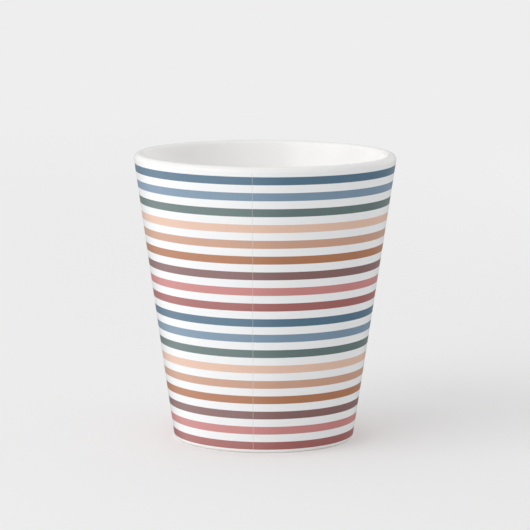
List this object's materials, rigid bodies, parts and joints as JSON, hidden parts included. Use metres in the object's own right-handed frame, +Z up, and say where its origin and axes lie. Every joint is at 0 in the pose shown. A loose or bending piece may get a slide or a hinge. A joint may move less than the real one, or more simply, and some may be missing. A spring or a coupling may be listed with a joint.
{
  "type": "conical ceramic mug",
  "caption": "Tall tapered white ceramic mug with an ear handle and evenly spaced horizontal bands of muted colour printed round its wall.",
  "frame": {"origin": "centre of the foot ring, on the plane that the mug stands on", "axes": "+Z up along the axis of the cup, +Y out through the handle, X across the mug"},
  "size_m": [0.0932, 0.1204, 0.1022],
  "materials": {
    "stoneware": "fired bare clay, dry and fine-grained",
    "white_glaze": "white gloss glaze",
    "print_coat": "clear hard coat over white, semi-gloss",
    "slip": "fired slip fillet under white gloss glaze",
    "ink_slate_blue": "dye printed through the coat, semi-gloss",
    "ink_light_blue": "dye printed through the coat, semi-gloss",
    "ink_grey_green": "dye printed through the coat, semi-gloss",
    "ink_peach": "dye printed through the coat, semi-gloss",
    "ink_tan": "dye printed through the coat, semi-gloss",
    "ink_copper": "dye printed through the coat, semi-gloss",
    "ink_plum": "dye printed through the coat, semi-gloss",
    "ink_rose": "dye printed through the coat, semi-gloss",
    "ink_brick": "dye printed through the coat, semi-gloss"
  },
  "bodies": {
    "root": {"body": "stoneware", "inside_glaze": "white_glaze", "base_glaze": "white_glaze", "print_coat": "print_coat", "handle": "white_glaze", "upper_slip_joint": "slip", "lower_slip_joint": "slip", "stripe_01_slate_blue": "ink_slate_blue", "stripe_02_light_blue": "ink_light_blue", "stripe_03_grey_green": "ink_grey_green", "stripe_04_peach": "ink_peach", "stripe_05_tan": "ink_tan", "stripe_06_copper": "ink_copper", "stripe_07_plum": "ink_plum", "stripe_08_rose": "ink_rose", "stripe_09_brick": "ink_brick", "stripe_10_slate_blue": "ink_slate_blue", "stripe_11_light_blue": "ink_light_blue", "stripe_12_grey_green": "ink_grey_green", "stripe_13_peach": "ink_peach", "stripe_14_tan": "ink_tan", "stripe_15_copper": "ink_copper", "stripe_16_plum": "ink_plum", "stripe_17_rose": "ink_rose", "stripe_18_brick": "ink_brick"}
  },
  "joints": []
}
